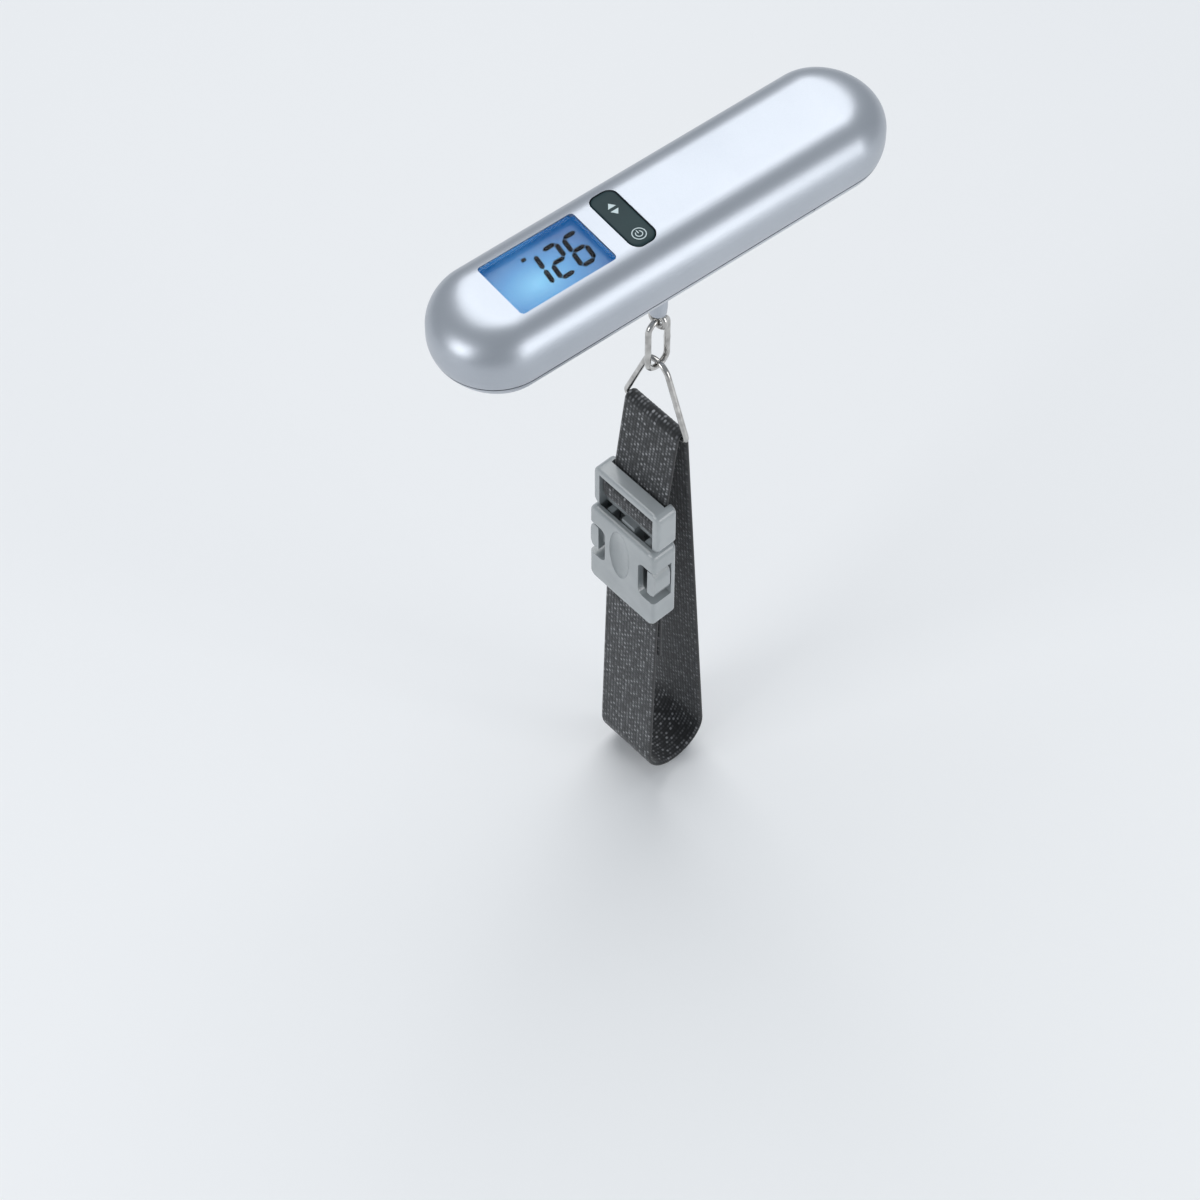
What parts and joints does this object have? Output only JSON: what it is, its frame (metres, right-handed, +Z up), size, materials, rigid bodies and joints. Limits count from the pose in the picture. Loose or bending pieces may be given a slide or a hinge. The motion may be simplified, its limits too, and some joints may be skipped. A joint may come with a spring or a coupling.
{
  "type": "digital luggage scale",
  "caption": "Pill-shaped hand-held digital luggage scale with a display and rocker key on top, and a swivel eye, chain link, ring and buckled webbing loop below.",
  "frame": {"origin": "middle of the case, which is the handle that a hand holds", "axes": "+X along the case away from the display, +Y away from the person who reads it, +Z up out of the display; the strap hangs along -Z, turned 6.5 degrees about it as in the picture"},
  "size_m": [0.1694, 0.0414, 0.2926],
  "materials": {
    "case_silver": "satin silver paint on moulded plastic",
    "key_dark": "matt dark teal",
    "clear_lens": "clear hard-coated plastic",
    "display_blue": "lit blue display",
    "white_plastic": "white moulded plastic",
    "black_rubber": "matt black rubber",
    "red_insulation": "red wire insulation",
    "board_green": "green solder resist",
    "black_plastic": "black moulded plastic",
    "steel": "plain steel",
    "aluminium": "machined aluminium",
    "brass": "brass strip",
    "gauge_film": "amber film",
    "plated_wire": "bright nickel-plated steel wire",
    "webbing": "charcoal woven tape",
    "buckle_grey": "mid grey moulded plastic"
  },
  "bodies": {
    "case": {"upper_case": "case_silver", "lower_case": "case_silver", "display_window": "clear_lens", "lcd_panel": "display_blue", "lcd_contact_strip": "black_rubber", "backlight": "white_plastic", "display_frame": "white_plastic", "main_board": "board_green", "controller_chip": "black_plastic", "timing_crystal": "steel", "switch_front": "black_plastic", "switch_rear": "black_plastic", "load_cell": "aluminium", "load_cell_bracket": "steel", "load_cell_screw_1": "steel", "load_cell_screw_2": "steel", "bracket_screw_1": "steel", "bracket_screw_2": "steel", "strain_gauge_top": "gauge_film", "strain_gauge_bottom": "gauge_film", "gauge_lead": "black_rubber", "case_screw_1": "steel", "case_screw_2": "steel", "case_screw_3": "steel", "case_screw_4": "steel", "coin_cell": "steel", "contact_plus": "brass", "contact_minus": "brass", "battery_lead_red": "red_insulation", "battery_lead_black": "black_rubber"},
    "key": {"rocker_key": "key_dark"},
    "door": {"battery_door": "case_silver"},
    "eye": {"swivel_eye": "plated_wire", "neck_sleeve": "case_silver", "thrust_washer": "brass", "eye_nut": "steel"},
    "link": {"chain_link": "plated_wire"},
    "ring": {"strap_ring": "plated_wire"},
    "strap": {"strap_webbing": "webbing", "buckle_plug": "buckle_grey", "buckle_socket": "buckle_grey"},
    "arm_left": {"plug_arm_left": "buckle_grey"},
    "arm_right": {"plug_arm_right": "buckle_grey"}
  },
  "joints": [
    {"name": "key_rock", "type": "hinge", "parent": "case", "child": "key", "pos_m": [-0.0145, 0, 0.0105], "axis": [1, 0, 0], "range_deg": [-3, 3], "stiffness_Nm_per_rad": 0.03},
    {"name": "door_slide", "type": "slide", "parent": "case", "child": "door", "axis": [1, 0, 0], "range_m": [0, 0.042]},
    {"name": "eye_swivel", "type": "hinge", "parent": "case", "child": "eye", "pos_m": [0, 0, -0.03], "axis": [0, 0, 1], "continuous": true},
    {"name": "link_swing", "type": "hinge", "parent": "eye", "child": "link", "pos_m": [0, 0, -0.0436], "axis": [0.9976, 0.0698, 0], "range_deg": [-60, 60]},
    {"name": "ring_swing", "type": "hinge", "parent": "link", "child": "ring", "pos_m": [0, 0, -0.0641], "axis": [-0.0698, 0.9976, 0], "range_deg": [-60, 60]},
    {"name": "strap_swing", "type": "hinge", "parent": "ring", "child": "strap", "pos_m": [0, 0, -0.0926], "axis": [-0.0698, 0.9976, 0], "range_deg": [-60, 60]},
    {"name": "left_arm_squeeze", "type": "hinge", "parent": "strap", "child": "arm_left", "pos_m": [-0.01042, 0.00849, -0.1432], "axis": [-0.9976, -0.0698, 0], "range_deg": [0, 8], "stiffness_Nm_per_rad": 0.15},
    {"name": "right_arm_squeeze", "type": "hinge", "parent": "strap", "child": "arm_right", "pos_m": [-0.00913, -0.00986, -0.1432], "axis": [0.9976, 0.0698, 0], "range_deg": [0, 8], "stiffness_Nm_per_rad": 0.15}
  ]
}
